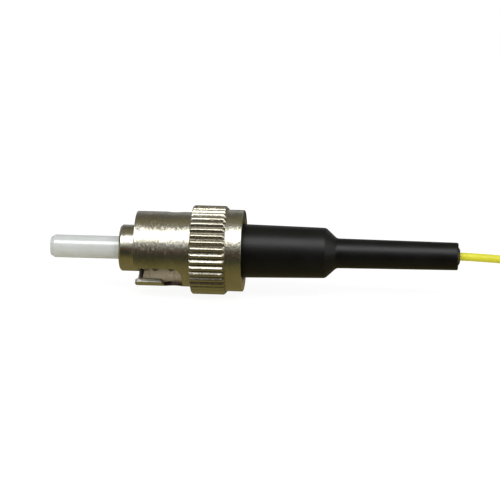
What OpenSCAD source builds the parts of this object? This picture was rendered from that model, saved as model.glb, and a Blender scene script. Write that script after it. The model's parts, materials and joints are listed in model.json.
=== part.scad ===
// Bayonet fibre connector with a 2.5 mm ceramic ferrule, a spring-loaded coupling nut
// and a moulded boot, on the end of a 0.9 mm buffered fibre.
// Lengths are millimetres. The connector lies along X, ferrule towards -X, on its knurl.

/* [Ferrule] */
// Outside diameter of the ferrule
ferrule_d = 2.5; // [2.3:0.05:2.7]
// Length that stands out of the barrel
ferrule_out = 7.7; // [6.5:0.1:9]
// Length pressed into the barrel
ferrule_seat = 2.8; // [2.4:0.1:3]
// How much smaller the seat's radius is than the bare pin's
seat_relief = 0.2; // [0.18:0.01:0.3]
// How far in front of the barrel the seat begins
seat_step = 0.1; // [0.05:0.01:0.2]
// Length of the tip chamfer
tip_chamfer_len = 0.45; // [0.2:0.05:0.7]
// Radial depth of the tip chamfer
tip_chamfer_r = 0.28; // [0.1:0.02:0.4]
// Length of the lead-in funnel at the back
funnel_len = 1.2; // [0.8:0.1:1.6]
// Width of the funnel mouth
funnel_d = 1.2; // [1.1:0.05:1.5]

/* [Barrel] */
// Diameter of the nose that enters the adapter
nose_d = 5.07; // [4.9:0.01:5.15]
// Length of the nose
nose_len = 3.25; // [3.1:0.05:3.6]
// Chamfer round the front of the nose
nose_chamfer = 0.22; // [0.1:0.02:0.35]
// Diameter of the neck that the spring and the nut ride on
neck_d = 3.6; // [3.4:0.05:3.75]
// Diameter of the stem inside the boot
stem_d = 3.3; // [3.1:0.05:3.4]
// Length of the stem
stem_len = 5; // [4.5:0.1:6]
// Number of grip grooves round the stem
stem_grooves = 5; // [2:1:6]
// Depth of a grip groove
stem_groove_depth = 0.14; // [0.08:0.02:0.2]

/* [Key] */
// Diameter of the key pin
key_d = 0.52; // [0.4:0.02:0.6]
// Distance from the nose's front face back to the key's centre
key_back = 2.42; // [2.2:0.02:2.7]
// Depth that the key is pressed into the nose
key_seat = 0.8; // [0.5:0.05:1]
// Angle of the key below the level of the axis
key_angle = 60; // [0:1:90]

/* [Spring] */
// Wire diameter
wire_d = 0.6; // [0.45:0.05:0.65]
// Distance between open turns
spring_pitch = 1.79; // [1.6:0.01:2]
// Part of a turn that is closed at each end
closed_turn = 0.65; // [0.62:0.01:0.75]
// Where the wire starts, round the axis
spring_start = 50; // [0:5:355]

/* [Coupling nut] */
// Distance from the nose's front face back to the nut's front edge
nut_setback = 1.79; // [1.5:0.01:2.1]
// Wall of the sleeve round the adapter
sleeve_wall = 0.525; // [0.4:0.005:0.65]
// Length of the sleeve in front of the knurl
sleeve_len = 6.16; // [6:0.02:6.4]
// Bore that goes over the adapter
socket_d = 7.1; // [7.05:0.05:7.3]
// Depth of that bore
socket_depth = 7.26; // [7.1:0.02:7.6]
// Thickness of the web that rides on the neck
web_t = 1.6; // [1.3:0.1:1.8]
// Bore of the recess at the back
recess_d = 7.1; // [6.8:0.1:7.4]
// Depth of that recess
recess_depth = 2.9; // [2.7:0.1:3.2]
// Diameter of the plain collar behind the knurl
collar_d = 8.91; // [8.5:0.05:8.91]
// Small chamfer on the nut's edges
edge_chamfer = 0.12; // [0.05:0.01:0.2]
// How far the nut is pushed forward against the spring
nut_travel = 2; // [1:0.1:2]

/* [Knurl] */
// Diameter over the teeth
knurl_d = 9.7; // [9.5:0.05:10]
// Length of the teeth
knurl_len = 3.85; // [3.6:0.05:4]
// Number of teeth
knurl_teeth = 40; // [32:4:48]
// Depth of the grooves
knurl_depth = 0.38; // [0.25:0.01:0.39]
// Width of a tooth's land
knurl_land = 0.27; // [0.2:0.01:0.35]
// Width of a groove's floor
knurl_floor = 0.09; // [0.06:0.01:0.12]
// Chamfer at the back of the teeth
knurl_chamfer = 0.3; // [0.1:0.05:0.3]
// Chamfer at the front of the teeth
knurl_front_chamfer = 0.14; // [0.05:0.01:0.25]

/* [Bayonet slots] */
// Width of the slots
slot_w = 2.2; // [2:0.05:2.3]
// Depth of the slot's centre line behind the nut's front edge
slot_depth = 4.1; // [3.9:0.05:4.3]
// How far back the rest pocket's centre lies behind that line
pocket_offset = 0.08; // [0:0.02:0.15]
// Turn of the nut from entry to pocket
slot_turn = 34; // [30:1:40]
// Radius of the lead-in corners
slot_corner = 0.55; // [0.3:0.05:0.7]
// Angle of the front slot below the level of the axis
slot_angle = 31; // [0:1:90]

/* [Washers and ring] */
// Thickness of the two washers
washer_t = 0.3; // [0.2:0.02:0.36]
// Outside diameter of the rear washer
rear_washer_d = 5.8; // [5.4:0.1:6.2]
// Thickness of the retaining ring
ring_t = 0.5; // [0.4:0.02:0.56]
// Outside diameter of the retaining ring
ring_d = 5.3; // [5:0.1:5.6]
// Diameter of the groove that holds the ring
ring_groove_d = 2.9; // [2.7:0.05:3]
// Angle of the ring's opening
ring_gap = 70; // [50:5:90]

/* [Crimp sleeve] */
// Wall of the sleeve
crimp_wall = 0.48; // [0.35:0.01:0.5]
// Length of the sleeve
crimp_len = 4.9; // [4.4:0.1:4.9]

/* [Boot] */
// Diameter of the boot where it enters the nut
boot_front_d = 5.9; // [5.7:0.02:6]
// Diameter at the end of the wide part
boot_shoulder_d = 5.49; // [5.4:0.01:5.6]
// Diameter at the start of the tail
tail_front_d = 3.26; // [3.2:0.02:3.5]
// Diameter at the end of the tail
tail_end_d = 3; // [2.9:0.02:3.2]
// Length of the wide part
boot_body_len = 10.43; // [9.5:0.01:12]
// Length of the cone between the wide part and the tail
boot_cone_len = 1.21; // [0.8:0.01:1.6]
// Length of the tail
boot_tail_len = 13.21; // [11:0.01:15]
// Space between the boot and the retaining ring
boot_gap = 0.6; // [0.4:0.05:0.8]
// Length of the lip that grips the neck
boot_lip = 0.8; // [0.6:0.05:1]
// Rounding of the boot's edges
boot_round = 0.2; // [0.1:0.02:0.3]

/* [Guide tube and fibre] */
// Outside diameter of the guide tube
tube_d = 2; // [1.8:0.05:2.1]
// Length of the tube beyond the boot
tube_out = 0.2; // [0.1:0.05:0.5]
// Depth of the tube in the stem
tube_seat = 3; // [2:0.1:3.5]
// Diameter of the buffered fibre
buffer_d = 0.9; // [0.85:0.01:0.92]
// Diameter of the bare glass
glass_d = 0.125; // [0.12:0.001:0.125]
// Length of glass held in the front of the buffer
glass_in_buffer = 1.5; // [1:0.1:3]
// Space between the ferrule and the end of the buffer
strip_gap = 0.5; // [0.3:0.1:0.8]

/* [Fibre hank] */
// Radius of the innermost turn where it folds back
fold_r = 2.7; // [2.7:0.1:3.2]
// Length of the straight runs between the folds
hank_run = 13.5; // [13.5:0.5:18]
// Turns side by side
hank_columns = 4; // [3:1:5]
// Turns on top of each other
hank_layers = 5; // [4:1:6]
// Thickness of the band round the hank
band_t = 0.22; // [0.15:0.01:0.3]
// Width of the band
band_w = 3; // [2:0.5:5]

/* [Clearances] */
// Running clearance of the web and the washers on the neck
running_gap = 0.05; // [0.03:0.01:0.08]
// Clearance of parts that are pushed together
fit_gap = 0.02; // [0.01:0.005:0.03]
// Clearance of the spring round the neck
spring_gap = 0.1; // [0.05:0.01:0.2]
// Clearance of the thrust washer in the nut's bore
washer_gap = 0.15; // [0.1:0.01:0.3]
// Clearance of the key's tip from the nut's bore
key_gap = 0.15; // [0.1:0.01:0.3]
// Clearance of the buffered fibre in the barrel and the guide tube
bore_gap = 0.05; // [0.02:0.01:0.08]
// Clearance of the bare glass in the ferrule
glass_gap = 0.0005; // [0.0005:0.0005:0.002]
// Clearance of the band round the hank
band_gap = 0.03; // [0.02:0.01:0.05]

/* [Hidden] */

$fn = 96;
over = 0.5; // how far a cutting shape runs past the face it opens

// Stations along the axis, counted from the ferrule's tip
nose_front = ferrule_out;
nose_back = nose_front + nose_len;
ferrule_back = nose_front + ferrule_seat;
nut_front = nose_front + nut_setback;
knurl_front = nut_front + sleeve_len;
knurl_back = knurl_front + knurl_len;
web_front = nut_front + socket_depth;
web_back = web_front + web_t;
nut_back = web_back + recess_depth;
ring_front = web_back + washer_t;
ring_back = ring_front + ring_t;
boot_front = ring_back + boot_gap;
neck_back = boot_front + boot_lip;
stem_back = neck_back + stem_len;
boot_shoulder = boot_front + boot_body_len;
tail_front = boot_shoulder + boot_cone_len;
boot_back = tail_front + boot_tail_len;
tube_front = stem_back - tube_seat;
tube_back = boot_back + tube_out;
buffer_front = ferrule_back + strip_gap;

axis_height = knurl_d / 2;
middle = tube_back / 2;
seat_d = ferrule_d - 2 * seat_relief;
bearing_d = neck_d + 2 * running_gap;
sleeve_d = socket_d + 2 * sleeve_wall;
key_reach = socket_d / 2 - key_gap;
thrust_washer_d = socket_d - 2 * washer_gap;
spring_d = neck_d + 2 * (spring_gap + wire_d);
fibre_bore = buffer_d + 2 * bore_gap;
ferrule_bore = glass_d + 2 * glass_gap;
crimp_bore = stem_d + 2 * fit_gap;
crimp_d = crimp_bore + 2 * crimp_wall;
pocket_d = crimp_d + 2 * fit_gap;
tube_bore = tube_d + 2 * fit_gap;

// Spring between the nose and the thrust washer
spring_r = (spring_d - wire_d) / 2;
spring_front = nose_back + fit_gap + wire_d / 2;
spring_back = web_front - washer_t - fit_gap - wire_d / 2;
open_turns = (spring_back - spring_front) / spring_pitch;
spring_turns = open_turns + 2 * closed_turn;
wire_sides = 8;
rings_per_turn = 22;

// The fibre's way from the connector to its hank, which it joins along the outermost turn
lead_points = [[22.4, 0, 4.85], [24, 0, 4.8], [26, 0, 4.7], [28, 0, 4.58], [30, 0, 4.46],
               [32, 0, 4.36], [33, 0, 4.32], [34, 0, 4.3]];
lead_sides = 8;
hank_start = lead_points[len(lead_points) - 1][0];
hank_outer_r = fold_r + (hank_columns - 1) * buffer_d;
hank_base = band_t + band_gap;
hank_h = hank_layers * buffer_d;

function across(a, b) = let (n = cross(a, b)) n / norm(n);
function tangent(p, i) =
    let (d = p[min(i + 1, len(p) - 1)] - p[max(i - 1, 0)]) d / norm(d);
function ring_at(c, u, v, r, sides) =
    [for (k = [0 : sides - 1]) c + r * (cos(k * 360 / sides) * u + sin(k * 360 / sides) * v)];
function tube_faces(rings, sides) = concat(
    [[for (k = [sides - 1 : -1 : 0]) k]],
    [[for (k = [0 : sides - 1]) (rings - 1) * sides + k]],
    [for (i = [0 : rings - 2], k = [0 : sides - 1])
        [i * sides + k, i * sides + (k + 1) % sides,
         (i + 1) * sides + (k + 1) % sides, (i + 1) * sides + k]]);
function rise(t) = spring_pitch * min(max(t - closed_turn, 0), open_turns);
function wire_centre(t) =
    [spring_r * cos(spring_start + 360 * t), spring_r * sin(spring_start + 360 * t), rise(t)];

// Stands a shape that is drawn along Z on the connector's axis, at a station
module at_station(s) {
    translate([s - middle, 0, axis_height]) rotate([0, 90, 0]) children();
}

// Turns a shape to an angle below the level of the axis, on the side towards -Y
module at_angle_below(a) {
    rotate([0, 0, a - 90]) children();
}

module washer(outer_d) {
    linear_extrude(washer_t) difference() {
        circle(d = outer_d);
        circle(d = bearing_d);
    }
}

// Straight tube through a row of points that stays in a plane across Y
module swept_tube(points, r, sides) {
    rings = len(points);
    verts = [for (i = [0 : rings - 1])
        let (u = across([0, 1, 0], tangent(points, i)))
        each ring_at(points[i], u, [0, 1, 0], r, sides)];
    polyhedron(verts, tube_faces(rings, sides), convexity = 4);
}

module ferrule() {
    color("ghostwhite") at_station(0) rotate_extrude() polygon([
        [ferrule_bore / 2, 0],
        [ferrule_d / 2 - tip_chamfer_r, 0],
        [ferrule_d / 2, tip_chamfer_len],
        [ferrule_d / 2, nose_front - seat_step],
        [seat_d / 2, nose_front - seat_step],
        [seat_d / 2, ferrule_back],
        [funnel_d / 2, ferrule_back],
        [ferrule_bore / 2, ferrule_back - funnel_len]]);
}

module glass_fibre() {
    color("lightcyan") at_station(0) cylinder(d = glass_d, h = buffer_front + glass_in_buffer);
}

module barrel() {
    groove_step = stem_len / (stem_grooves + 1);
    color("silver") at_station(0) difference() {
        rotate_extrude() polygon(concat(
            [[seat_d / 2, nose_front],
             [nose_d / 2 - nose_chamfer, nose_front],
             [nose_d / 2, nose_front + nose_chamfer],
             [nose_d / 2, nose_back],
             [neck_d / 2, nose_back],
             [neck_d / 2, ring_front],
             [ring_groove_d / 2, ring_front],
             [ring_groove_d / 2, ring_back + fit_gap],
             [neck_d / 2, ring_back + fit_gap],
             [neck_d / 2, neck_back],
             [stem_d / 2, neck_back]],
            [for (i = [1 : stem_grooves], p = [-1, 0, 1])
                [stem_d / 2 - (p == 0 ? stem_groove_depth : 0),
                 neck_back + i * groove_step + p * stem_groove_depth]],
            [[stem_d / 2, stem_back],
             [tube_bore / 2, stem_back],
             [tube_bore / 2, tube_front],
             [fibre_bore / 2, tube_front],
             [fibre_bore / 2, ferrule_back],
             [seat_d / 2, ferrule_back]]));
        key_hole();
    }
}

module key_hole() {
    translate([0, 0, nose_front + key_back]) at_angle_below(key_angle)
        translate([nose_d / 2 - key_seat, 0, 0]) rotate([0, 90, 0])
            cylinder(d = key_d, h = key_seat + over);
}

module key_pin() {
    color("dimgray") at_station(nose_front + key_back) at_angle_below(key_angle)
        rotate([0, 90, 0]) rotate_extrude($fn = 48) polygon([
            [0, nose_d / 2 - key_seat],
            [key_d / 2, nose_d / 2 - key_seat],
            [key_d / 2, key_reach - key_d / 2],
            [key_d * 0.35, key_reach - key_d * 0.14],
            [key_d * 0.16, key_reach],
            [0, key_reach]]);
}

module spring() {
    rings = ceil(spring_turns * rings_per_turn) + 1;
    verts = [for (i = [0 : rings - 1])
        let (t = spring_turns * i / (rings - 1), c = wire_centre(t),
             out = [c[0], c[1], 0] / spring_r)
        each ring_at(c, out, [0, 0, 1], wire_d / 2, wire_sides)];
    color("lightgray") at_station(spring_front)
        polyhedron(verts, tube_faces(rings, wire_sides), convexity = 10);
}

module thrust_washer() {
    color("gainsboro") at_station(web_front - washer_t) washer(thrust_washer_d);
}

// One bayonet slot, cut through the wall by a round tool that points at the axis
module bayonet_slot() {
    inner = socket_d / 2 - over;
    reach = sleeve_wall + 2 * over;
    translate([inner, -slot_w / 2, -over]) cube([reach, slot_w, slot_depth + over]);
    slot_end(0, slot_depth, inner, reach);
    rotate_extrude(angle = slot_turn) translate([inner, slot_depth - slot_w / 2])
        square([reach, slot_w]);
    slot_end(slot_turn, slot_depth + pocket_offset, inner, reach);
    for (side = [-1, 1]) translate([inner, side * slot_w / 2, 0]) difference() {
        translate([0, side < 0 ? -slot_corner : 0, -over]) cube([reach, slot_corner, slot_corner + over]);
        translate([-over, side * slot_corner, slot_corner]) rotate([0, 90, 0])
            cylinder(r = slot_corner, h = reach + 2 * over);
    }
}

module slot_end(angle, depth, inner, reach) {
    rotate([0, 0, angle]) translate([inner, 0, depth]) rotate([0, 90, 0])
        cylinder(d = slot_w, h = reach);
}

// One groove of the knurl, as wide at the teeth's tips as the lands leave it
module knurl_groove() {
    top = PI * knurl_d / knurl_teeth - knurl_land;
    slope = (top - knurl_floor) / 2 / knurl_depth;
    lift = 0.1;
    translate([0, 0, knurl_front - nut_front - over]) linear_extrude(knurl_len + 2 * over) polygon([
        [knurl_d / 2 - knurl_depth, -knurl_floor / 2],
        [knurl_d / 2 + lift, -top / 2 - slope * lift],
        [knurl_d / 2 + lift, top / 2 + slope * lift],
        [knurl_d / 2 - knurl_depth, knurl_floor / 2]]);
}

module nut_blank() {
    c = edge_chamfer;
    start = knurl_front - nut_front;
    end = knurl_back - nut_front;
    long = nut_back - nut_front;
    rotate_extrude() polygon([
        [socket_d / 2 + c, 0],
        [sleeve_d / 2 - c, 0],
        [sleeve_d / 2, c],
        [sleeve_d / 2, start],
        [knurl_d / 2 - knurl_front_chamfer, start],
        [knurl_d / 2, start + knurl_front_chamfer],
        [knurl_d / 2, end - knurl_chamfer],
        [knurl_d / 2 - knurl_chamfer, end],
        [collar_d / 2, end],
        [collar_d / 2, long - c],
        [collar_d / 2 - c, long],
        [recess_d / 2 + c, long],
        [recess_d / 2, long - c],
        [recess_d / 2, socket_depth + web_t],
        [bearing_d / 2, socket_depth + web_t],
        [bearing_d / 2, socket_depth],
        [socket_d / 2, socket_depth],
        [socket_d / 2, c]]);
}

module coupling_nut() {
    color("lightsteelblue") at_station(nut_front) difference() {
        nut_blank();
        for (half = [0, 180]) rotate([0, 0, half]) at_angle_below(slot_angle) bayonet_slot();
        for (i = [0 : knurl_teeth - 1]) rotate([0, 0, (i + 0.5) * 360 / knurl_teeth]) knurl_groove();
    }
}

module rear_washer() {
    color("gainsboro") at_station(web_back) washer(rear_washer_d);
}

module retaining_ring() {
    far = ring_d;
    color("darkgray") at_station(ring_front) linear_extrude(ring_t) difference() {
        circle(d = ring_d);
        circle(d = ring_groove_d + 2 * fit_gap);
        polygon([[0, 0], far * [cos(ring_gap / 2), sin(ring_gap / 2)],
                 far * [cos(ring_gap / 2), -sin(ring_gap / 2)]]);
    }
}

module crimp_sleeve() {
    color("silver") at_station(neck_back + fit_gap) linear_extrude(crimp_len) difference() {
        circle(d = crimp_d);
        circle(d = crimp_bore);
    }
}

module guide_tube() {
    color([0.09, 0.09, 0.1]) at_station(tube_front) linear_extrude(tube_back - tube_front) difference() {
        circle(d = tube_d);
        circle(d = fibre_bore);
    }
}

module boot() {
    pocket_back = stem_back + boot_round;
    throat = pocket_back + (pocket_d - tube_bore) / 2;
    color([0.07, 0.07, 0.08]) at_station(0) rotate_extrude() polygon([
        [neck_d / 2 + fit_gap, boot_front],
        [boot_front_d / 2 - boot_round, boot_front],
        [boot_front_d / 2, boot_front + boot_round],
        [boot_shoulder_d / 2, boot_shoulder - boot_round],
        [boot_shoulder_d / 2 - boot_round / 2, boot_shoulder],
        [tail_front_d / 2, tail_front],
        [tail_end_d / 2, boot_back - boot_round],
        [tail_end_d / 2 - boot_round, boot_back],
        [tube_bore / 2, boot_back],
        [tube_bore / 2, throat],
        [pocket_d / 2, pocket_back],
        [pocket_d / 2, neck_back],
        [neck_d / 2 + fit_gap, neck_back]]);
}

module buffered_fibre() {
    color([0.88, 0.87, 0.22]) at_station(buffer_front) difference() {
        cylinder(d = buffer_d, h = tube_back - buffer_front);
        translate([0, 0, -over]) cylinder(d = ferrule_bore, h = glass_in_buffer + over);
    }
}

module fibre_lead() {
    color([0.88, 0.87, 0.22]) swept_tube(lead_points, buffer_d / 2, lead_sides);
}

// Two folds and the straight runs between them
module loop_outline(r) {
    for (x = [0, hank_run]) translate([x, 0]) circle(r = r);
    translate([0, -r]) square([hank_run, 2 * r]);
}

module fibre_hank() {
    color([0.88, 0.87, 0.22]) translate([hank_start, hank_outer_r, hank_base])
        linear_extrude(hank_h) difference() {
            loop_outline(hank_outer_r + buffer_d / 2);
            loop_outline(fold_r - buffer_d / 2);
        }
}

// Outline across the hank, larger all round by a gap or a band
module hank_outline(grow) {
    half = hank_outer_r + buffer_d / 2 + grow;
    translate([-half, hank_base - grow]) square([2 * half, hank_h + 2 * grow]);
}

module hank_band() {
    color("whitesmoke") translate([hank_start + (hank_run - band_w) / 2, hank_outer_r, 0])
        rotate([90, 0, 90]) linear_extrude(band_w) difference() {
            hank_outline(band_gap + band_t);
            hank_outline(band_gap);
        }
}

ferrule();
glass_fibre();
barrel();
key_pin();
spring();
thrust_washer();
coupling_nut();
rear_washer();
retaining_ring();
crimp_sleeve();
guide_tube();
boot();
buffered_fibre();
fibre_lead();
fibre_hank();
hank_band();
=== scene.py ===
# Bayonet fibre connector on a fibre wound into a tied hank, dressed for rendering.
# Stations are millimetres back from the ferrule's tip. Angles go round the axis from +Y through +Z.
import json
import math

import bmesh
import bpy
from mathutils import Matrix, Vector
from mathutils.geometry import delaunay_2d_cdt

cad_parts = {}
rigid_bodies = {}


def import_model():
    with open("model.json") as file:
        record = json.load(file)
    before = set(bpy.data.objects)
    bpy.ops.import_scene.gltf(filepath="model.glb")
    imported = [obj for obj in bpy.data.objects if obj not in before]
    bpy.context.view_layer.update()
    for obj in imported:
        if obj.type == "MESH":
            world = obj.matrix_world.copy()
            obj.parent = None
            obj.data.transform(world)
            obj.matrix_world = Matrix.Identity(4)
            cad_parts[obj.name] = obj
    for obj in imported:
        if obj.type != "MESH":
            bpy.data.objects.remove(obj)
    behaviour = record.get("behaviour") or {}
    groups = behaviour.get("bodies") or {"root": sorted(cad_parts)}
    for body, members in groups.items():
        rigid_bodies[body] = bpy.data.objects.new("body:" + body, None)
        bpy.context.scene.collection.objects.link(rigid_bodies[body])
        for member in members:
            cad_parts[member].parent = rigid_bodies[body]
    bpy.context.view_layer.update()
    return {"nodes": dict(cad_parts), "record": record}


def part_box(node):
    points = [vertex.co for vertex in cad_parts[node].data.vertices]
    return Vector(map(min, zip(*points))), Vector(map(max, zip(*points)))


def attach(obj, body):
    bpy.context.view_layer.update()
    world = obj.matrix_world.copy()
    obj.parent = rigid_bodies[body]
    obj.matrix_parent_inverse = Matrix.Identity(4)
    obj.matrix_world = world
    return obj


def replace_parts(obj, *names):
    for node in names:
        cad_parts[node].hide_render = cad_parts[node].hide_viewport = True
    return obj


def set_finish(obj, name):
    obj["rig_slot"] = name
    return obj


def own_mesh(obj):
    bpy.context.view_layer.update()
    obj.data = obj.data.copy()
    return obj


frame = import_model()
print("frame loaded:", len(frame["nodes"]), "nodes")

ferruleLow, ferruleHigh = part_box("ferrule")
tipX = ferruleLow[0]
axisZ = (ferruleLow[2] + ferruleHigh[2]) / 2


def stationOf(node, end):
    # where a node starts (0) or ends (1) along the axis
    return (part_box(node)[end][0] - tipX) * 1000


def place(station, radius, angle):
    turn = math.radians(angle)
    return Vector((tipX + station / 1000, radius / 1000 * math.cos(turn),
                   axisZ + radius / 1000 * math.sin(turn)))


camera = {
    "lens": 200, "distance": 0.3033,
    "azimuth": 5.0, "elevation": 17.8,  # degrees, round from -Y and up
    "target": (-0.0005, 0, 0.00496),
}


def addCamera():
    data = bpy.data.cameras.new("camera")
    data.lens = camera["lens"]
    data.clip_start, data.clip_end = 0.01, 10
    turn, lift = math.radians(camera["azimuth"]), math.radians(camera["elevation"])
    away = Vector((math.sin(turn) * math.cos(lift), -math.cos(turn) * math.cos(lift), math.sin(lift)))
    stand = bpy.data.objects.new("camera", data)
    stand.location = Vector(camera["target"]) + away * camera["distance"]
    stand.rotation_euler = (-away).to_track_quat("-Z", "Y").to_euler()
    bpy.context.scene.collection.objects.link(stand)
    bpy.context.scene.camera = stand


addCamera()
print("camera placed")

weldWithin, flatWithin = 4e-7, 1e-7


def newPiece(name, verts, faces, body, slot, sharp=35):
    # one mesh piece, welded, facing outwards, with edges over this many degrees left sharp
    mesh = bpy.data.meshes.new(name)
    mesh.from_pydata([tuple(v) for v in verts], [], faces)
    work = bmesh.new()
    work.from_mesh(mesh)
    bmesh.ops.remove_doubles(work, verts=work.verts, dist=weldWithin)
    bmesh.ops.dissolve_degenerate(work, edges=work.edges, dist=flatWithin)
    bmesh.ops.recalc_face_normals(work, faces=work.faces)
    work.to_mesh(mesh)
    work.free()
    mesh.shade_smooth()
    mesh.set_sharp_from_angle(angle=math.radians(sharp))
    piece = bpy.data.objects.new(name, mesh)
    bpy.context.scene.collection.objects.link(piece)
    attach(piece, body)
    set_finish(piece, slot)
    return piece


def sweepTube(path, radius, sides):
    # round tube along a path, with flat ends
    verts, faces = [], []
    side = Vector((0, 1, 0))
    for i, point in enumerate(path):
        ahead = (path[min(i + 1, len(path) - 1)] - path[max(i - 1, 0)]).normalized()
        side = (side - ahead * side.dot(ahead)).normalized()
        up = ahead.cross(side)
        for k in range(sides):
            turn = 2 * math.pi * k / sides
            verts.append(point + radius * (math.cos(turn) * side + math.sin(turn) * up))
    for i in range(len(path) - 1):
        for k in range(sides):
            n = (k + 1) % sides
            faces.append((i * sides + k, i * sides + n, (i + 1) * sides + n, (i + 1) * sides + k))
    faces.append(tuple(range(sides))[::-1])
    faces.append(tuple((len(path) - 1) * sides + k for k in range(sides)))
    return verts, faces


fibre = {
    "diameter": 0.0009,
    "length": 1.0,
    "lead": [(0.0224, 0, 0.00485), (0.024, 0, 0.0048), (0.026, 0, 0.0047), (0.028, 0, 0.00458),
             (0.030, 0, 0.00446), (0.032, 0, 0.00436), (0.033, 0, 0.00432), (0.034, 0, 0.0043)],
    "run": 0.0135,          # straight part of the hank
    "outerRadius": 0.0054,  # of the outermost turn where it folds back
    "columns": 4,
    "layers": 5,
    "bulge": 0.00037,       # how far a turn steps aside as it goes down a layer
    "leadPoints": 4,        # on each stretch of the lead
    "foldPoints": 14,
    "runPoints": 6,
    "sides": 12,
}


def ease(t):
    return t * t * (3 - 2 * t)


def smoothLead():
    # a curve through the lead's points
    lead, steps = [Vector(p) for p in fibre["lead"]], fibre["leadPoints"]
    path = []
    for i in range(len(lead) - 1):
        before = lead[i - 1] if i else lead[0] * 2 - lead[1]
        after = lead[i + 2] if i + 2 < len(lead) else lead[-1] * 2 - lead[-2]
        for k in range(steps):
            t = k / steps
            path.append(0.5 * (2 * lead[i] + (lead[i + 1] - before) * t
                               + (2 * before - 5 * lead[i] + 4 * lead[i + 1] - after) * t * t
                               + (3 * lead[i] - before - 3 * lead[i + 1] + after) * t ** 3))
    return path, lead[-1]


def fibrePath():
    # the lead, then the hank's turns from the outermost of the top layer down, changing lanes in the far fold
    path, start = smoothLead()
    spacing, columns, run = fibre["diameter"], fibre["columns"], fibre["run"]
    runPoints, foldPoints = fibre["runPoints"], fibre["foldPoints"]
    middleY = start.y + fibre["outerRadius"]

    def lay(x, radius, turn, height):
        path.append(Vector((x + radius * math.cos(turn), middleY + radius * math.sin(turn), height)))

    for lap in range(columns * fibre["layers"]):
        lane, layer = lap % columns, lap // columns
        inward = layer % 2 == 0
        column = lane if inward else columns - 1 - lane
        radius, height = fibre["outerRadius"] - column * spacing, start.z - layer * spacing
        for k in range(runPoints):
            path.append(Vector((start.x + run * k / runPoints, middleY - radius, height)))
        for k in range(foldPoints):
            t = k / foldPoints
            moved, turn = ease(t), math.radians(180 * t - 90)
            if lane < columns - 1:
                r, z = radius + spacing * moved * (-1 if inward else 1), height
            else:
                aside = fibre["bulge"] * math.sin(math.pi * moved) * (-1 if inward else 1)
                r, z = radius + aside, height - spacing * ease(moved)
            lay(start.x + run, r, turn, z)
        if lane < columns - 1:
            radius += spacing * (-1 if inward else 1)
        else:
            height -= spacing
        for k in range(runPoints):
            path.append(Vector((start.x + run - run * k / runPoints, middleY + radius, height)))
        for k in range(foldPoints):
            lay(start.x, radius, math.radians(90 + 180 * k / foldPoints), height)
    return cutTo(path, fibre["length"])


def cutTo(path, length):
    cut, done = [path[0]], 0.0
    for a, b in zip(path, path[1:]):
        span = (b - a).length
        if done + span >= length:
            cut.append(a + (b - a) * ((length - done) / span))
            return cut
        done += span
        cut.append(b)
    return cut


fibreRoute = fibrePath()
fibreCord = newPiece("fibre_cord", *sweepTube(fibreRoute, fibre["diameter"] / 2, fibre["sides"]),
                     "connector", "buffer_yellow", sharp=60)
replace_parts(fibreCord, "fibre_lead", "fibre_hank")

band = {
    "thickness": 0.22, "innerCorner": 0.48, "cornerSteps": 6, "widthSteps": 8,
    "edge": 0.05, "pinch": (0.25, 0.075),  # the wall thins at its edges by these shares a side
}


def addBand():
    # film band round the hank: a rounded loop across X, with softened edges
    (lowX, lowY, lowZ), (highX, highY, highZ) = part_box("hank_band")
    middle = Vector(((lowY + highY) / 2, (lowZ + highZ) / 2))
    loops = []
    for inset in (0, band["thickness"] / 1000):
        corner = (band["innerCorner"] + band["thickness"]) / 1000 - inset
        reachY, reachZ = (highY - lowY) / 2 - inset - corner, (highZ - lowZ) / 2 - inset - corner
        loop = []
        for quarter, (sy, sz) in enumerate(((1, 1), (-1, 1), (-1, -1), (1, -1))):
            for k in range(band["cornerSteps"] + 1):
                turn = math.radians(90 * quarter + 90 * k / band["cornerSteps"])
                loop.append(middle + Vector((sy * reachY + corner * math.cos(turn),
                                             sz * reachZ + corner * math.sin(turn))))
        loops.append(loop)
    outer, inner = loops
    count = len(outer)
    edge = band["edge"] / 1000
    steps, flat = band["widthSteps"], highX - lowX - 2 * edge
    stations = [lowX, lowX + edge * 0.3, lowX + edge]
    stations += [lowX + edge + flat * k / steps for k in range(1, steps)]
    stations += [highX - edge, highX - edge * 0.3, highX]
    most, some = band["pinch"]
    pinch = [most, some, 0] + [0] * (steps - 1) + [0, some, most]
    verts, faces = [], []
    for x, share in zip(stations, pinch):
        for o, i in zip(outer, inner):
            p = o.lerp(i, share)
            verts.append(Vector((x, p.x, p.y)))
        for o, i in zip(outer, inner):
            p = i.lerp(o, share)
            verts.append(Vector((x, p.x, p.y)))
    for row in range(len(stations) - 1):
        for k in range(count):
            n = (k + 1) % count
            a, b = row * 2 * count, (row + 1) * 2 * count
            faces.append((a + k, a + n, b + n, b + k))
            faces.append((a + count + k, b + count + k, b + count + n, a + count + n))
    for row in (0, len(stations) - 1):
        for k in range(count):
            n, a = (k + 1) % count, row * 2 * count
            faces.append((a + k, a + n, a + count + n, a + count + k))
    piece = newPiece("tie_band", verts, faces, "connector", "band_clear", sharp=60)
    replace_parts(piece, "hank_band")
    return piece


tieBand = addBand()
print("fibre laid:", len(fibreRoute), "points")

roundSteps = 4


def softened(points, closed=True):
    # (station, radius, setback) corners, each rounded over its setback
    out, count = [], len(points)
    for i, (s, r, setback) in enumerate(points):
        corner = Vector((s, r))
        if not setback or (not closed and i in (0, count - 1)):
            out.append((s, r))
            continue
        before = Vector(points[i - 1][:2]) - corner
        after = Vector(points[(i + 1) % count][:2]) - corner
        reach = min(setback, before.length * 0.48, after.length * 0.48)
        start, end = corner + before.normalized() * reach, corner + after.normalized() * reach
        for k in range(roundSteps + 1):
            t = k / roundSteps
            p = start * (1 - t) ** 2 + corner * 2 * t * (1 - t) + end * t * t
            out.append((p.x, p.y))
    return out


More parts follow.
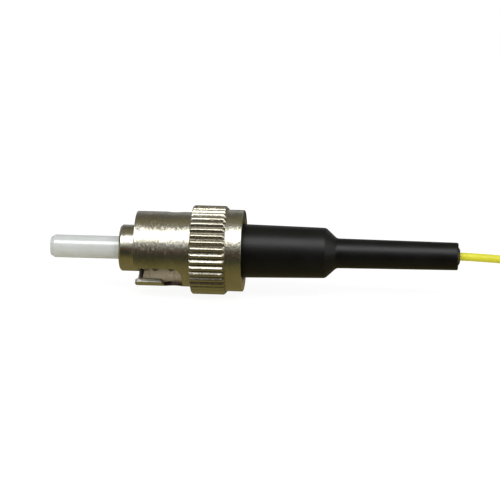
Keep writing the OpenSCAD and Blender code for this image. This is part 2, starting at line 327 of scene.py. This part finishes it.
def lathe(profile, columns):
    # a closed section in (station, radius), turned round the axis
    verts = [place(s, r, 360 * k / columns) for s, r in profile for k in range(columns)]
    faces = []
    for i in range(len(profile)):
        j = (i + 1) % len(profile)
        for k in range(columns):
            n = (k + 1) % columns
            faces.append((i * columns + k, i * columns + n, j * columns + n, j * columns + k))
    return verts, faces


def turned(name, node, points, slot, columns=128):
    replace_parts(newPiece(name, *lathe(softened(points), columns), "connector", slot), node)


ferrule = {"radius": 1.25, "seatRadius": 1.05, "hole": 0.0635, "tipChamfer": (0.45, 0.28),
           "funnel": (1.2, 0.6)}
barrel = {"nose": 2.535, "chamfer": 0.22, "neck": 1.8, "stem": 1.65, "grooveRadius": 1.45,
          "fibreBore": 0.5, "tubeBore": 1.02, "noseLength": 3.25, "lip": 0.8, "gripGrooves": 5,
          "gripDepth": 0.14}
boot = {"front": 2.95, "shoulder": 2.745, "tailFront": 1.63, "tailEnd": 1.5, "bodyLength": 10.43,
        "coneLength": 1.21, "mouth": 1.82, "pocket": 2.17, "tubeHole": 1.02, "pocketGap": 0.2,
        "pocketCone": 1.15}
guide = {"radius": 1.0, "bore": 0.5, "domeRadius": 0.66, "domeLength": 0.17}

noseFront = stationOf("barrel", 0)
stemBack = stationOf("barrel", 1)
ferruleBack = stationOf("ferrule", 1)
noseBack = noseFront + barrel["noseLength"]
ringFront, ringBack = stationOf("retaining_ring", 0), stationOf("retaining_ring", 1)
bootFront, bootBack = stationOf("boot", 0), stationOf("boot", 1)
neckBack = bootFront + barrel["lip"]
tubeFront, tubeBack = stationOf("guide_tube", 0), stationOf("guide_tube", 1)


def addFerrule():
    f = ferrule
    length, depth = f["tipChamfer"]
    turned("ferrule_pin", "ferrule", [
        (0, f["hole"], 0), (0, f["radius"] - depth, 0.05), (length, f["radius"], 0.07),
        (noseFront - 0.04, f["radius"], 0.02), (noseFront - 0.04, f["seatRadius"], 0),
        (ferruleBack, f["seatRadius"], 0.05), (ferruleBack, f["funnel"][1], 0.05),
        (ferruleBack - f["funnel"][0], f["hole"], 0)], "zirconia")


def addBarrel():
    b = barrel
    step = (stemBack - neckBack) / (b["gripGrooves"] + 1)
    grips = []
    for i in range(1, b["gripGrooves"] + 1):
        at = neckBack + i * step
        grips += [(at - b["gripDepth"], b["stem"], 0.02), (at, b["stem"] - b["gripDepth"], 0.03),
                  (at + b["gripDepth"], b["stem"], 0.02)]
    turned("barrel_body", "barrel", [
        (noseFront, ferrule["seatRadius"] + 0.02, 0), (noseFront, b["nose"] - b["chamfer"], 0.06),
        (noseFront + b["chamfer"], b["nose"], 0.07), (noseBack, b["nose"], 0.06),
        (noseBack, b["neck"], 0.05), (ringFront, b["neck"], 0.03), (ringFront, b["grooveRadius"], 0.02),
        (ringBack + 0.02, b["grooveRadius"], 0.02), (ringBack + 0.02, b["neck"], 0.03),
        (neckBack, b["neck"], 0.04), (neckBack, b["stem"], 0.03)] + grips + [
        (stemBack, b["stem"], 0.05), (stemBack, b["tubeBore"], 0.05), (tubeFront, b["tubeBore"], 0),
        (tubeFront, b["fibreBore"], 0), (ferruleBack, b["fibreBore"], 0),
        (ferruleBack, ferrule["seatRadius"], 0), (noseFront + 0.02, ferrule["seatRadius"], 0)],
        "nickel_plate", columns=160)


def addBoot():
    b = boot
    shoulder = bootFront + b["bodyLength"]
    tail = shoulder + b["coneLength"]
    pocketBack = stemBack + b["pocketGap"]
    turned("boot_sleeve", "boot", [
        (bootFront, b["mouth"], 0.04), (bootFront, b["front"], 0.25), (shoulder, b["shoulder"], 0.22),
        (tail, b["tailFront"], 0.25), (bootBack, b["tailEnd"], 0.22), (bootBack, b["tubeHole"], 0.08),
        (pocketBack + b["pocketCone"], b["tubeHole"], 0), (pocketBack, b["pocket"], 0),
        (neckBack, b["pocket"], 0), (neckBack, b["mouth"], 0)], "boot_rubber", columns=144)


def addGuideTube():
    g = guide
    turned("guide_sleeve", "guide_tube", [
        (tubeFront, g["bore"], 0.02), (tubeFront, g["radius"], 0.05),
        (tubeBack - g["domeLength"], g["radius"], 0.1), (tubeBack, g["domeRadius"], 0.15),
        (tubeBack, g["bore"], 0.04)], "tube_black", columns=72)


key = {"radius": 0.26, "tip": 0.17, "seat": 1.735, "reach": 3.34, "dome": 0.15, "station": 10.12,
       "angle": 240, "columns": 40}


def addKey():
    # domed post across the axis, so its own little lathe
    k = key
    profile = [(k["seat"], 0.0), (k["seat"], k["radius"]), (barrel["nose"] + 0.05, k["radius"])]
    neck = k["reach"] - k["dome"]
    profile += [(neck + k["dome"] * math.sin(a), k["tip"] * (0.34 + 0.66 * math.cos(a)))
                for a in (0, 0.3, 0.6, 0.9, 1.2, 1.45)]
    profile += [(k["reach"], 0.0)]
    out = place(0, 1, k["angle"]) - place(0, 0, 0)
    out.normalize()
    along = Vector((1, 0, 0))
    side = out.cross(along)
    base = place(k["station"], 0, 0)
    verts, faces, n = [], [], k["columns"]
    for reach, radius in profile:
        for i in range(n):
            turn = 2 * math.pi * i / n
            verts.append(base + out * reach / 1000
                         + (along * math.cos(turn) + side * math.sin(turn)) * radius / 1000)
    for i in range(len(profile) - 1):
        for j in range(n):
            m = (j + 1) % n
            faces.append((i * n + j, i * n + m, (i + 1) * n + m, (i + 1) * n + j))
    piece = newPiece("key_post", verts, faces, "connector", "dark_steel", sharp=50)
    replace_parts(piece, "key_pin")


addFerrule()
addBarrel()
addBoot()
addGuideTube()
addKey()
print("turned pieces made")

spring = {
    "wire": 0.6, "radius": 2.2, "pitch": 1.79, "closedTurn": 0.65, "startAngle": -40,
    "perTurn": 48, "sides": 14,
    "keep": 0.634, "seatX": -0.01143,  # its share of length when pushed, and its fixed end
}


def addSpring():
    s = spring
    front = stationOf("spring", 0) + s["wire"] / 2
    back = stationOf("spring", 1) - s["wire"] / 2
    openTurns = (back - front) / s["pitch"]
    turns = openTurns + 2 * s["closedTurn"]
    count = int(turns * s["perTurn"])
    path = []
    for i in range(count + 1):
        t = turns * i / count
        rise = s["pitch"] * min(max(t - s["closedTurn"], 0), openTurns)
        path.append(place(front + rise, s["radius"], s["startAngle"] + 360 * t))
    verts, faces = sweepTube(path, s["wire"] / 2000, s["sides"])
    piece = newPiece("coil_spring", verts, faces, "connector", "spring_steel", sharp=60)
    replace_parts(piece, "spring")
    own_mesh(piece)


addSpring()
print("spring wound")

nut = {
    "sleeve": 4.075, "socket": 3.55, "edge": 0.07, "sleeveLength": 6.16, "cutRow": 5.96,
    "knurl": 4.85, "knurlEnd": 10.01, "frontChamfer": 0.14, "rearChamfer": 0.3,
    "toothDepth": [0, 0.02, 0.08, 0.165, 0.25], "toothColumns": 9,
    "collar": 4.455, "bearing": 1.85, "webFront": 7.28, "webBack": 8.86,
    "columns": 360, "seam": 121, "firstRow": 0.2, "rowStep": 0.25,
    "cell": 0.3, "guard": 0.09,  # grid points nearer than the guard to the edge are left out
    "edgeSteps": 4, "recess": 3.55,
    "slotWidth": 2.2, "slotDepth": 4.1, "pocketOffset": 0.08, "slotTurn": 34, "leadIn": 0.55,
    "fingerRound": 0.14, "slotAngle": 211,
}
nutFront = stationOf("coupling_nut", 0)
nutBack = stationOf("coupling_nut", 1)


def arc(angle, cy, cs, radius, start, end, steps):
    return [(angle, cy + radius * math.cos(math.radians(start + (end - start) * k / steps)),
             cs + radius * math.sin(math.radians(start + (end - start) * k / steps)))
            for k in range(steps + 1)]


def slotOutline(at):
    # one bayonet slot as (centre angle, sideways, behind the front edge), from its left lip to its right
    n = nut
    half, depth, lead, turn = n["slotWidth"] / 2, n["slotDepth"], n["leadIn"], n["slotTurn"]
    pocket = depth + n["pocketOffset"]
    way = arc(at, -half - lead, lead, lead, -90, 0, 10)
    way += [(at, -half, lead + (depth - lead) * k / 14) for k in range(1, 14)]
    way += arc(at, 0, depth, half, 180, 90, 12)
    way += [(at + turn * k / 12, 0, depth + half) for k in range(1, 10)]
    way += arc(at + turn, 0, pocket, half, 104, -72, 22)
    way += [(at + turn, 0.1, pocket - half - 0.03)]
    reach = math.degrees(half / n["sleeve"])
    run = turn - reach - 3
    way += [(at + turn - 1.5 - run * k / 10, 0, depth - half) for k in range(11)]
    r = n["fingerRound"]
    way += arc(at, half + r, depth - half - r, r, 90, 180, 6)
    way += [(at, half, depth - half - r - (depth - half - r - lead) * k / 8) for k in range(1, 8)]
    way += arc(at, half + lead, lead, lead, 180, 270, 10)
    return way


def frontLoop():
    # the nut's whole front edge, in and out of both slots, from seam to seam
    n = nut
    first, way = n["slotAngle"], []
    spare = math.degrees(math.asin((n["slotWidth"] / 2 + n["leadIn"]) / n["socket"])) + 1
    marks = [(n["seam"], first - spare), (first + spare, first + 180 - spare),
             (first + 180 + spare, n["seam"] + 360)]
    for i, (start, end) in enumerate(marks):
        steps = int((end - start) / 1.5)
        way += [(start + (end - start) * k / steps, 0, 0) for k in range(steps + 1)]
        if i < 2:
            way += slotOutline(first + 180 * i)
    return way


def wrapped(way, radius, inset):
    # the loop laid on a cylinder, moved into the metal by an inset: (angle in degrees, behind the front)
    flat = [Vector((math.radians(a) * radius + radius * math.asin(y / radius), s)) for a, y, s in way]
    out = []
    for i, p in enumerate(flat):
        if i in (0, len(flat) - 1):
            out.append(Vector((p.x, p.y + inset)))
            continue
        ahead = (flat[i + 1] - p).normalized() + (p - flat[i - 1]).normalized()
        ahead.normalize()
        out.append(p + Vector((-ahead.y, ahead.x)) * inset)
    return out


def rolled(flat, radius):
    return [place(nutFront + p.y, radius, math.degrees(p.x / radius)) for p in flat]


def sleeveSkin(loop, radius, backRow, columns):
    # triangles between the front loop and a straight ring behind it
    n = nut
    seam, points, edges = n["seam"], list(loop), []
    edges += [(i, i + 1) for i in range(len(loop) - 1)]
    first, cell = n["firstRow"], n["cell"]
    rows = int((backRow - first) / n["rowStep"])
    heights = [first + (backRow - first) * k / rows for k in range(rows + 1)]
    width = 2 * math.pi * radius
    left = math.radians(seam) * radius

    def chain(new, last):
        for p in new:
            points.append(p)
            edges.append((last, len(points) - 1))
            last = len(points) - 1
        return last

    end = chain([Vector((left + width, h)) for h in heights[:-1]], len(loop) - 1)
    end = chain([Vector((left + width * k / columns, backRow)) for k in range(columns, -1, -1)], end)
    end = chain([Vector((left, h)) for h in heights[-2::-1]], end)
    edges.append((end, 0))
    busy = {}
    for p in loop:
        busy.setdefault((round(p.x / cell), round(p.y / cell)), []).append(p)
    for k in range(1, columns):
        x = left + width * k / columns
        for h in heights[:-1]:
            across, back, here = round(x / cell), round(h / cell), Vector((x, h))
            near = [p for i in (-1, 0, 1) for j in (-1, 0, 1) for p in busy.get((across + i, back + j), [])]
            if all((here - p).length > n["guard"] for p in near):
                points.append(here)
    verts, _, faces, *_ = delaunay_2d_cdt(points, edges, [], 1, 1e-6)
    return rolled(verts, radius), [tuple(f) for f in faces]


def addNut():
    n = nut
    verts, faces = [], []

    def add(newVerts, newFaces):
        base = len(verts)
        verts.extend(newVerts)
        faces.extend(tuple(base + i for i in f) for f in newFaces)

    way = frontLoop()
    edge = n["edge"]
    add(*sleeveSkin(wrapped(way, n["sleeve"], edge), n["sleeve"], n["cutRow"], n["columns"]))
    add(*sleeveSkin(wrapped(way, n["socket"], edge), n["socket"], n["cutRow"], n["columns"]))
    # (radius, inset) rows round the wall's edge
    turns = [math.radians(90 * k / n["edgeSteps"]) for k in range(n["edgeSteps"] + 1)]
    rows = [(n["sleeve"] - edge + edge * math.cos(a), edge - edge * math.sin(a)) for a in turns]
    rows += [(n["socket"] + edge - edge * math.sin(a), edge - edge * math.cos(a)) for a in turns]
    strip, count = [], len(way)
    for radius, inset in rows:
        strip += rolled(wrapped(way, radius, inset), radius)
    add(strip, [(i * count + k, i * count + k + 1, (i + 1) * count + k + 1, (i + 1) * count + k)
                for i in range(len(rows) - 1) for k in range(count - 1)])

    sl, top, end = n["sleeveLength"], n["knurl"], n["knurlEnd"]
    long = nutBack - nutFront
    outline = [
        (n["cutRow"], n["sleeve"], 0), (sl, n["sleeve"], 0.03), (sl, 4.3, 0), (sl, 4.45, 0), (sl, 4.55, 0),
        (sl, top - n["frontChamfer"], 0.04), (sl + n["frontChamfer"], top, 0.05),
        (sl + 1.3, top, 0), (sl + 2.5, top, 0),
        (end - n["rearChamfer"], top, 0.06), (end, top - n["rearChamfer"], 0.04), (end, n["collar"], 0.02),
        (end + 0.08, n["collar"], 0.02), (end + 0.9, n["collar"], 0), (long, n["collar"], 0.13),
        (long, n["recess"], 0.1), (n["webBack"], n["recess"], 0.05), (n["webBack"], n["bearing"], 0.05),
        (n["webFront"], n["bearing"], 0.05), (n["webFront"], n["socket"], 0.05),
        (n["cutRow"], n["socket"], 0)]
    profile = softened(outline, closed=False)
    grid, cols = [], n["columns"]
    half = n["toothColumns"] // 2
    for s, r in profile:
        for k in range(cols):
            angle = n["seam"] + 360 * k / cols
            spot = abs((round(angle) + half) % n["toothColumns"] - half)
            limit = top - n["toothDepth"][spot]
            grid.append(place(nutFront + s, min(r, limit), angle))
    add(grid, [(i * cols + k, i * cols + (k + 1) % cols, (i + 1) * cols + (k + 1) % cols, (i + 1) * cols + k)
               for i in range(len(profile) - 1) for k in range(cols)])
    piece = newPiece("bayonet_nut", verts, faces, "nut", "nut_nickel", sharp=38)
    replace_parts(piece, "coupling_nut")
    return piece


bayonetNut = addNut()
print("nut cut:", len(bayonetNut.data.polygons), "faces")


class Wire:
    # a node's output; arithmetic on it adds Math nodes
    def __init__(self, finish, socket):
        self.finish, self.socket = finish, socket

    def math(self, operation, *others):
        return self.finish.node("ShaderNodeMath", {"operation": operation}, dict(enumerate((self, *others))))

    def mathAfter(self, operation, first):
        return self.finish.node("ShaderNodeMath", {"operation": operation}, {0: first, 1: self})

    def __add__(self, other):
        return self.math("ADD", other)

    def __sub__(self, other):
        return self.math("SUBTRACT", other)

    def __rsub__(self, other):
        return self.mathAfter("SUBTRACT", other)

    def __mul__(self, other):
        return self.math("MULTIPLY", other)

    def __truediv__(self, other):
        return self.math("DIVIDE", other)

    def __rtruediv__(self, other):
        return self.mathAfter("DIVIDE", other)

    def __pow__(self, other):
        return self.math("POWER", other)

    __radd__ = __add__
    __rmul__ = __mul__


class Finish:
    # a material, or the world, with its node tree
    def __init__(self, name, owner=None):
        self.owner = owner or bpy.data.materials.new(name)
        self.owner.use_nodes = True
        self.tree = self.owner.node_tree
        self.tree.nodes.clear()

    def node(self, kind, settings=None, sockets=None, out=0):
        made = self.tree.nodes.new(kind)
        for label, value in (settings or {}).items():
            if label == "stops":
                ramp = made.color_ramp.elements
                while len(ramp) < len(value):
                    ramp.new(0.5)
                for stop, (position, colour) in zip(ramp, value):
                    stop.position = position
                    stop.color = (*colour, 1)
            else:
                setattr(made, label, value)
        for label, value in (sockets or {}).items():
            if isinstance(value, Wire):
                self.tree.links.new(value.socket, made.inputs[label])
            elif hasattr(value, "__len__") and made.inputs[label].type == "RGBA" and len(value) == 3:
                made.inputs[label].default_value = (*value, 1)
            else:
                made.inputs[label].default_value = value
        return Wire(self, made.outputs[out]) if len(made.outputs) else made

    def coords(self, scale=(1, 1, 1)):
        source = self.node("ShaderNodeTexCoord", out="Object")
        return self.node("ShaderNodeMapping", {}, {"Vector": source, "Scale": scale})

    def axisPart(self, axis):
        source = self.node("ShaderNodeTexCoord", out="Object")
        return self.node("ShaderNodeSeparateXYZ", {}, {"Vector": source}, out=axis)

    def offAxis(self):
        # millimetres from the connector's axis
        return ((self.axisPart("Y") ** 2 + (self.axisPart("Z") - axisZ) ** 2) ** 0.5) * 1000

    def noise(self, coords, scale, detail, rough):
        return self.node("ShaderNodeTexNoise", {}, {"Vector": coords, "Scale": scale, "Detail": detail,
                                                   "Roughness": rough})

    def span(self, value, low, high, outLow=0.0, outHigh=1.0):
        return self.node("ShaderNodeMapRange", {}, {"Value": value, "From Min": low, "From Max": high,
                                                   "To Min": outLow, "To Max": outHigh})

    def blend(self, factor, first, second):
        return self.node("ShaderNodeMix", {"data_type": "RGBA"}, {0: factor, 6: first, 7: second}, out=2)

    def bump(self, height, distance, under=None):
        sockets = {"Height": height, "Distance": distance, "Strength": 1.0}
        if under:
            sockets["Normal"] = under
        return self.node("ShaderNodeBump", {}, sockets)

    def seenRay(self):
        # 1 for a ray from the camera, a mirror or a clear piece
        total = 0
        for kind in ("Is Camera Ray", "Is Glossy Ray", "Is Transmission Ray"):
            total = self.node("ShaderNodeLightPath", out=kind) + total
        return total.math("MINIMUM", 1)

    def surface(self, sockets):
        shader = self.node("ShaderNodeBsdfPrincipled", {}, sockets)
        self.node("ShaderNodeOutputMaterial", {}, {"Surface": shader})
        return self.owner


nutNickel = {
    "light": (0.71, 0.685, 0.58), "dark": (0.62, 0.585, 0.47), "rough": 0.2,
    "rings": 9000, "ringBump": 1.0e-5, "grain": 4200, "grainBump": 1.1e-4, "grainRough": 0.4,
    "patch": 520, "stain": 420,
    # where each mask starts and is full: millimetres off the axis, or back from the tip
    "valley": (4.56, 4.74), "valleyFloor": (4.47, 4.5), "teeth": (15.4, 15.7), "teethEnd": (19.6, 19.3),
    "bore": (3.62, 3.72), "wall": (3.63, 3.68), "wallEnd": (4.03, 3.99),
    "finger": (12.7, 12.5), "pocketEnd": (16.0, 15.8),
    # the valley and pocket tints are painted shade, the cut tint is a painted highlight; the bore tint is the
    # bore's own colour
    "valleyShadeTint": (0.11, 0.09, 0.065), "boreTint": (0.74, 0.68, 0.57),
    "cutHighlightTint": (0.95, 0.94, 0.90), "pocketShadeTint": (0.20, 0.15, 0.11),
    "valleyRough": 0.2, "boreRough": 0.12, "cutRough": 0.22,
}
barrelNickel = {
    "light": (0.71, 0.685, 0.58), "dark": (0.62, 0.585, 0.47), "rough": 0.19,
    "rings": 9000, "ringBump": 0.8e-5, "grain": 4200, "grainBump": 5.5e-5, "grainRough": 0.3,
    "patch": 520, "stain": 420,
}


def nickelFinish(name, look):
    # turned and plated: rings across the axis, a streaky grain, faint stains; on the nut a warmer, rougher
    # bore, painted shade in the knurl's valleys, a painted highlight on the slot's cut faces along the finger
    # and painted shade on them in the pocket behind
    f = Finish(name)
    rings = f.noise(f.coords((1, 0.03, 0.03)), look["rings"], 2, 0.6)
    grain = f.noise(f.coords((1, 0.22, 0.22)), look["grain"], 4, 0.65)
    patch = f.noise(f.coords((0.5, 1, 1)), look["patch"], 3, 0.6)
    stain = f.noise(f.coords(), look["stain"], 4, 0.6)
    colour = f.blend(f.span(stain, 0.35, 0.68), look["light"], look["dark"])
    roughness = look["rough"] + (grain - 0.5) * look["grainRough"] * f.span(patch, 0.35, 0.65, 0.5, 1.3)
    if "valley" in look:
        radius, back = f.offAxis(), (f.axisPart("X") - tipX) * 1000
        outside = f.span(radius, *look["bore"])
        valleyShade = (1 - f.span(radius, *look["valley"])) * f.span(radius, *look["valleyFloor"])
        valleyShade = valleyShade * f.span(back, *look["teeth"]) * f.span(back, *look["teethEnd"])
        wall = f.span(radius, *look["wall"]) * f.span(radius, *look["wallEnd"])
        front = f.span(back, *look["finger"])
        pocket = (1 - front) * f.span(back, *look["pocketEnd"])
        # painted shade: the knurl's valley floors are tinted dark brown
        colour = f.blend(valleyShade, colour, look["valleyShadeTint"])
        colour = f.blend(outside, look["boreTint"], colour)
        # painted highlight: the slot's cut faces and the front rim along the finger are tinted near white
        colour = f.blend(wall * front, colour, look["cutHighlightTint"])
        # painted shade: the cut faces in the pocket behind the finger are tinted dark brown
        colour = f.blend(wall * pocket, colour, look["pocketShadeTint"])
        roughness = roughness + valleyShade * look["valleyRough"] + (1 - outside) * look["boreRough"]
        roughness = roughness + wall * front * look["cutRough"]
    fine = f.bump(rings, look["ringBump"])
    uneven = f.bump(grain, look["grainBump"], under=fine)
    return f.surface({"Base Color": colour, "Metallic": 1.0, "Roughness": roughness, "Normal": uneven})


even = (1, 1, 1)
# noises as (stretch, scale, detail, roughness), roughness at the fine noise's 0 and 1, bump in metres
looks = {
    "dark_steel": {
        "fine": ((1, 0.3, 0.3), 5200, 3, 0.5), "broad": (even, 900, 3, 0.5), "rough": (0.24, 0.44),
        "colours": ((0.13, 0.127, 0.12), (0.07, 0.067, 0.063)), "bump": 6e-6, "plain": {"Metallic": 1.0}},
    "spring_steel": {
        "fine": ((1, 0.3, 0.3), 5200, 3, 0.5), "broad": (even, 900, 3, 0.5), "rough": (0.14, 0.34),
        "colours": ((0.34, 0.33, 0.31), (0.22, 0.21, 0.2)), "bump": 6e-6, "plain": {"Metallic": 1.0}},
    "washer_steel": {
        "fine": ((1, 0.3, 0.3), 5200, 3, 0.5), "broad": (even, 900, 3, 0.5), "rough": (0.2, 0.4),
        "colours": ((0.62, 0.61, 0.59), (0.50, 0.49, 0.47)), "bump": 6e-6, "plain": {"Metallic": 1.0}},
    "zirconia": {
        "fine": ((1, 0.06, 0.06), 8000, 2, 0.5), "broad": (even, 700, 4, 0.6), "rough": (0.035, 0.065),
        "colours": ((0.60, 0.625, 0.63), (0.56, 0.58, 0.565)), "bump": 4e-7,
        "plain": {"IOR": 2.1, "Subsurface Weight": 0.35, "Subsurface Radius": (1, 0.9, 0.75),
                  "Subsurface Scale": 0.0003}},
    "silica": {
        "fine": (even, 6000, 2, 0.5), "broad": (even, 6000, 2, 0.5), "rough": (0.05, 0.08),
        "colours": ((0.80, 0.85, 0.88), (0.88, 0.92, 0.94)), "bump": 1e-8, "plain": {"IOR": 1.46}},
    "boot_rubber": {
        "fine": (even, 5200, 4, 0.6), "broad": (even, 260, 4, 0.6), "rough": (0.285, 0.465), "patchy": True,
        "colours": ((0.0022, 0.0022, 0.0022), (0.0045, 0.0045, 0.0046)), "bump": 1.0e-5,
        "plain": {"Specular IOR Level": 0.35}},
    "tube_black": {
        "fine": ((0.2, 1, 1), 4200, 3, 0.5), "broad": ((0.2, 1, 1), 4200, 3, 0.5), "rough": (0.3, 0.45),
        "colours": ((0.012, 0.012, 0.013), (0.03, 0.03, 0.032)), "bump": 5e-6, "plain": {}},
    "buffer_yellow": {
        "fine": (even, 2600, 3, 0.5), "broad": (even, 320, 3, 0.5), "rough": (0.36, 0.48),
        "colours": ((0.72, 0.69, 0.03), (0.64, 0.61, 0.026)), "bump": 4e-6,
        "plain": {"Subsurface Weight": 0.1, "Subsurface Radius": (1, 0.9, 0.2), "Subsurface Scale": 0.0003}},
    "band_clear": {
        "fine": ((1, 1, 0.3), 1400, 4, 0.5), "broad": ((1, 1, 0.3), 1400, 4, 0.5), "rough": (0.22, 0.42),
        "colours": ((0.80, 0.81, 0.80), (0.72, 0.73, 0.73)), "bump": 1.5e-5, "plain": {}},
}


def mottledFinish(name, look):
    # a broad noise mixes two colours, and a fine one makes the bump and, unless it is patchy, the roughness
    f = Finish(name)
    fine, broad = (f.noise(f.coords(look[kind][0]), *look[kind][1:]) for kind in ("fine", "broad"))
    low, high = look["rough"]
    roughness = low + (broad if "patchy" in look else fine) * (high - low)
    colour = f.blend(f.span(broad, 0.3, 0.7), *look["colours"])
    return f.surface({**look["plain"], "Base Color": colour, "Roughness": roughness,
                      "Normal": f.bump(fine, look["bump"])})


finishes = {name: mottledFinish(name, look) for name, look in looks.items()}
finishes["nut_nickel"] = nickelFinish("nut_nickel", nutNickel)
finishes["nickel_plate"] = nickelFinish("nickel_plate", barrelNickel)
slots = {row["node"]: row["material_slot"] for row in frame["record"]["subparts"]}
for nodeName, part in frame["nodes"].items():
    part.data.materials.clear()
    part.data.materials.append(finishes[slots[nodeName]])
for part in bpy.context.scene.objects:
    if part.type == "MESH" and "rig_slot" in part and part.name not in frame["nodes"]:
        part.data.materials.clear()
        part.data.materials.append(finishes[part["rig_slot"]])
print("finishes set:", len(finishes))

studio = {
    "worldFill": 0.62,
    "boxElevation": 62, "boxDistance": 0.15, "boxSize": (0.36, 0.083), "boxPower": 0.25,
    "floorSize": 1.6, "floorColour": (0.80, 0.775, 0.68), "floorSeen": 0.13, "floorGlow": 0.92,
    "wrapReach": 0.26, "wrapLength": 0.8, "wrapSteps": 48, "groundLift": 2e-5,
    # what the metal mirrors round its axis: degrees above the front horizon, colour
    "wrap": [(-6, (0.040, 0.045, 0.030)), (1, (0.036, 0.030, 0.020)), (7, (0.093, 0.050, 0.040)),
             (13, (0.093, 0.060, 0.048)), (18, (0.093, 0.086, 0.066)), (25, (0.20, 0.21, 0.19)),
             (31, (0.36, 0.36, 0.35)), (37, (0.53, 0.54, 0.56)), (44, (0.9, 0.9, 0.9)),
             (78, (0.6, 0.6, 0.6)), (84, (0.31, 0.32, 0.33)), (92, (0.24, 0.235, 0.20)),
             (100, (0.22, 0.205, 0.135)), (117, (0.18, 0.165, 0.10)), (128, (0.13, 0.12, 0.095)),
             (150, (0.12, 0.12, 0.115)), (160, (0.35, 0.35, 0.34)), (186, (0.35, 0.35, 0.34))],
    # card past the ferrule: its X, half width, bottom and top, then its colours by millimetres up
    "endCard": (-0.30, 0.22, 0.001, 0.25),
    "endTint": [(0, (0.07, 0.065, 0.045)), (60, (0.13, 0.125, 0.11)), (250, (0.30, 0.30, 0.29))],
    # mirrored floor: millimetres from the axis, colour
    "ground": [(0, (0.20, 0.17, 0.08)), (6, (0.18, 0.155, 0.06)), (10, (0.13, 0.113, 0.046)),
               (14, (0.086, 0.079, 0.034)), (21, (0.045, 0.045, 0.030)), (50, (0.040, 0.045, 0.030))],
}


def stageSheet(name, verts, faces, material):
    mesh = bpy.data.meshes.new(name)
    mesh.from_pydata(verts, [], faces)
    mesh.materials.append(material)
    sheet = bpy.data.objects.new(name, mesh)
    bpy.context.scene.collection.objects.link(sheet)
    return sheet


def flatSheet(half, height):
    return [(-half, -half, height), (half, -half, height), (half, half, height), (-half, half, height)]


def reflector(name, verts, faces, measure, stops, low, high):
    # a card that only reflections see, coloured by a ramp
    f = Finish(name)
    spot = f.span(measure(f.axisPart("Y"), f.axisPart("Z")), low, high)
    stops = [((at - low) / (high - low), tint) for at, tint in stops]
    colour = f.node("ShaderNodeValToRGB", {"stops": stops}, {"Fac": spot})
    light = f.node("ShaderNodeEmission", {}, {"Color": colour, "Strength": 1.0})
    f.node("ShaderNodeOutputMaterial", {}, {"Surface": light})
    sheet = stageSheet(name, verts, faces, f.owner)
    sheet.visible_camera = False
    sheet.visible_diffuse = False
    sheet.visible_transmission = False
    sheet.visible_volume_scatter = False
    sheet.visible_shadow = False


def addReflectors():
    s = studio
    reach, half = s["wrapReach"], s["wrapLength"] / 2
    first, last = s["wrap"][0][0], s["wrap"][-1][0]
    steps = s["wrapSteps"]
    verts = []
    for i in range(steps + 1):
        turn = math.radians(first + (last - first) * i / steps)
        y, z = -reach * math.cos(turn), axisZ + reach * math.sin(turn)
        verts += [(-half, y, z), (half, y, z)]
    faces = [(2 * i, 2 * i + 1, 2 * i + 3, 2 * i + 2) for i in range(steps)]
    reflector("wrap", verts, faces,
              lambda y, z: (z - axisZ).math("ARCTAN2", 0 - y) * (180 / math.pi),
              s["wrap"], first, last)
    reflector("ground", flatSheet(half, s["groundLift"]), [(0, 1, 2, 3)],
              lambda y, z: y.math("ABSOLUTE") * 1000, s["ground"], 0, s["ground"][-1][0])
    at, side, foot, top = s["endCard"]
    corners = [(at, -side, foot), (at, side, foot), (at, side, top), (at, -side, top)]
    reflector("end", corners, [(0, 1, 2, 3)], lambda y, z: z * 1000, s["endTint"], 0, top * 1000)


def addFloor():
    s = studio
    f = Finish("floor")
    plain = f.node("ShaderNodeBsdfDiffuse", {}, {"Color": s["floorColour"]})
    seen = f.node("ShaderNodeAddShader", {}, {
        0: f.node("ShaderNodeBsdfDiffuse", {}, {"Color": (s["floorSeen"],) * 3}),
        1: f.node("ShaderNodeEmission", {}, {"Color": (1, 1, 1), "Strength": s["floorGlow"]})})
    both = f.node("ShaderNodeMixShader", {}, {0: f.seenRay(), 1: plain, 2: seen})
    f.node("ShaderNodeOutputMaterial", {}, {"Surface": both})
    half = s["floorSize"] / 2
    stageSheet("floor", flatSheet(half, 0), [(0, 1, 2, 3)], f.owner)


def addWorld():
    world = bpy.data.worlds.new("studio")
    bpy.context.scene.world = world
    f = Finish("world", world)
    fill = f.node("ShaderNodeBackground", {}, {"Color": (1, 1, 1), "Strength": studio["worldFill"]})
    white = f.node("ShaderNodeBackground", {}, {"Color": (1, 1, 1), "Strength": 1.0})
    both = f.node("ShaderNodeMixShader", {}, {0: f.seenRay(), 1: fill, 2: white})
    f.node("ShaderNodeOutputWorld", {}, {"Surface": both})


def addSoftbox():
    s = studio
    data = bpy.data.lights.new("softbox", "AREA")
    data.shape = "RECTANGLE"
    data.size, data.size_y = s["boxSize"]
    data.energy = s["boxPower"]
    lamp = bpy.data.objects.new("softbox", data)
    lift = math.radians(s["boxElevation"])
    away = Vector((0, -math.cos(lift), math.sin(lift)))
    lamp.location = Vector((0, 0, axisZ)) + away * s["boxDistance"]
    lamp.rotation_euler = (math.radians(90 - s["boxElevation"]), 0, 0)
    lamp.visible_camera = False
    bpy.context.scene.collection.objects.link(lamp)


addFloor()
addWorld()
addReflectors()
addSoftbox()
bpy.context.scene.view_settings.view_transform = "Standard"
print("stage set")
